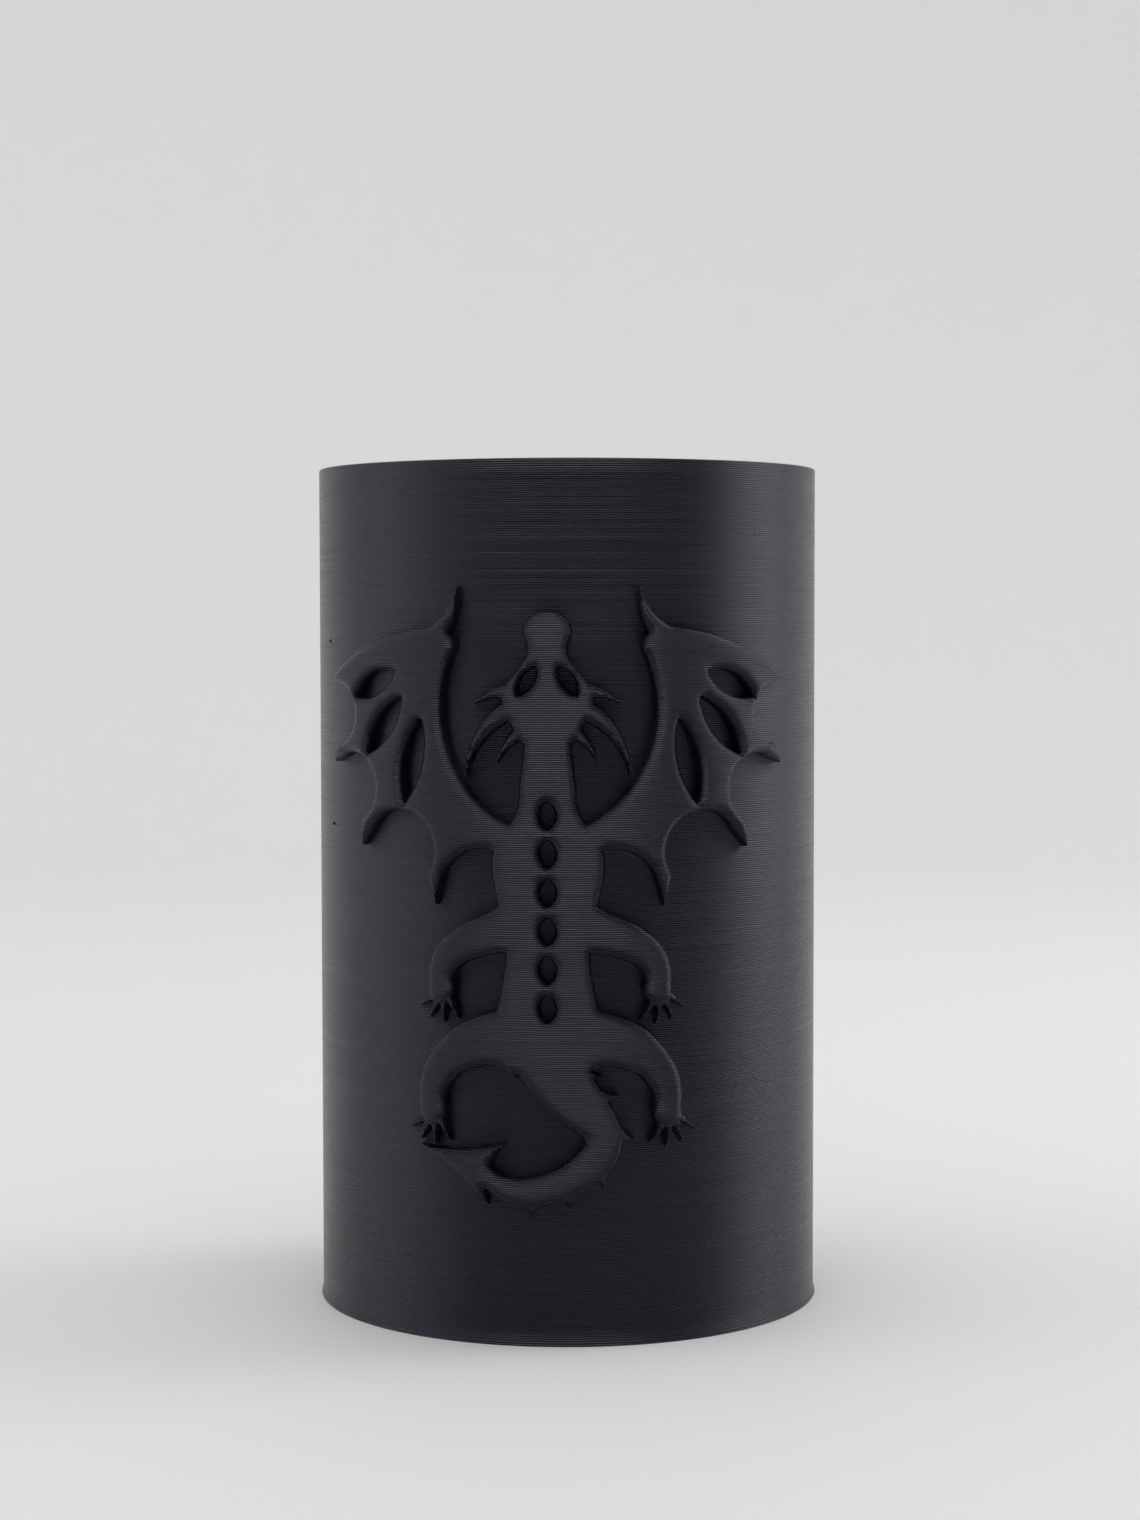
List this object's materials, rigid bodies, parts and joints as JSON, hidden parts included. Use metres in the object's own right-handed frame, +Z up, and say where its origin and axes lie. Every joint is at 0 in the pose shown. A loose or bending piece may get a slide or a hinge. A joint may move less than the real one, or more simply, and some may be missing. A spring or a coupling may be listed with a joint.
{
  "type": "dice tower",
  "caption": "Round open-topped dice tower with a raised dragon on its wall, a lift-out spiral staircase inside and an arched exit at the back.",
  "frame": {"origin": "on the tower's axis, in the plane it stands on, at the middle of the base plate's underside", "axes": "+Z up along the tower, -Y towards the raised dragon at the front, +Y towards the exit arch at the back"},
  "size_m": [0.0724, 0.0742, 0.12],
  "materials": {
    "shell_pla": "black PLA print with 0.3 mm layer lines",
    "insert_pla": "black PLA print with 0.3 mm layer lines"
  },
  "bodies": {
    "tower": {"tower_shell": "shell_pla", "base_plate": "insert_pla", "exit_ramp": "insert_pla", "catch_wall": "insert_pla"},
    "staircase": {"centre_post": "insert_pla", "lift_knob": "insert_pla", "stair_tread_01": "insert_pla", "stair_tread_02": "insert_pla", "stair_tread_03": "insert_pla", "stair_tread_04": "insert_pla", "stair_tread_05": "insert_pla", "stair_tread_06": "insert_pla", "stair_tread_07": "insert_pla", "stair_tread_08": "insert_pla", "stair_tread_09": "insert_pla", "stair_tread_10": "insert_pla", "stair_tread_11": "insert_pla", "stair_tread_12": "insert_pla", "stair_tread_13": "insert_pla", "stair_tread_14": "insert_pla"}
  },
  "joints": [
    {"name": "staircase_lift", "type": "slide", "parent": "tower", "child": "staircase", "axis": [0, 0, 1], "range_m": [0, 0.12]}
  ]
}
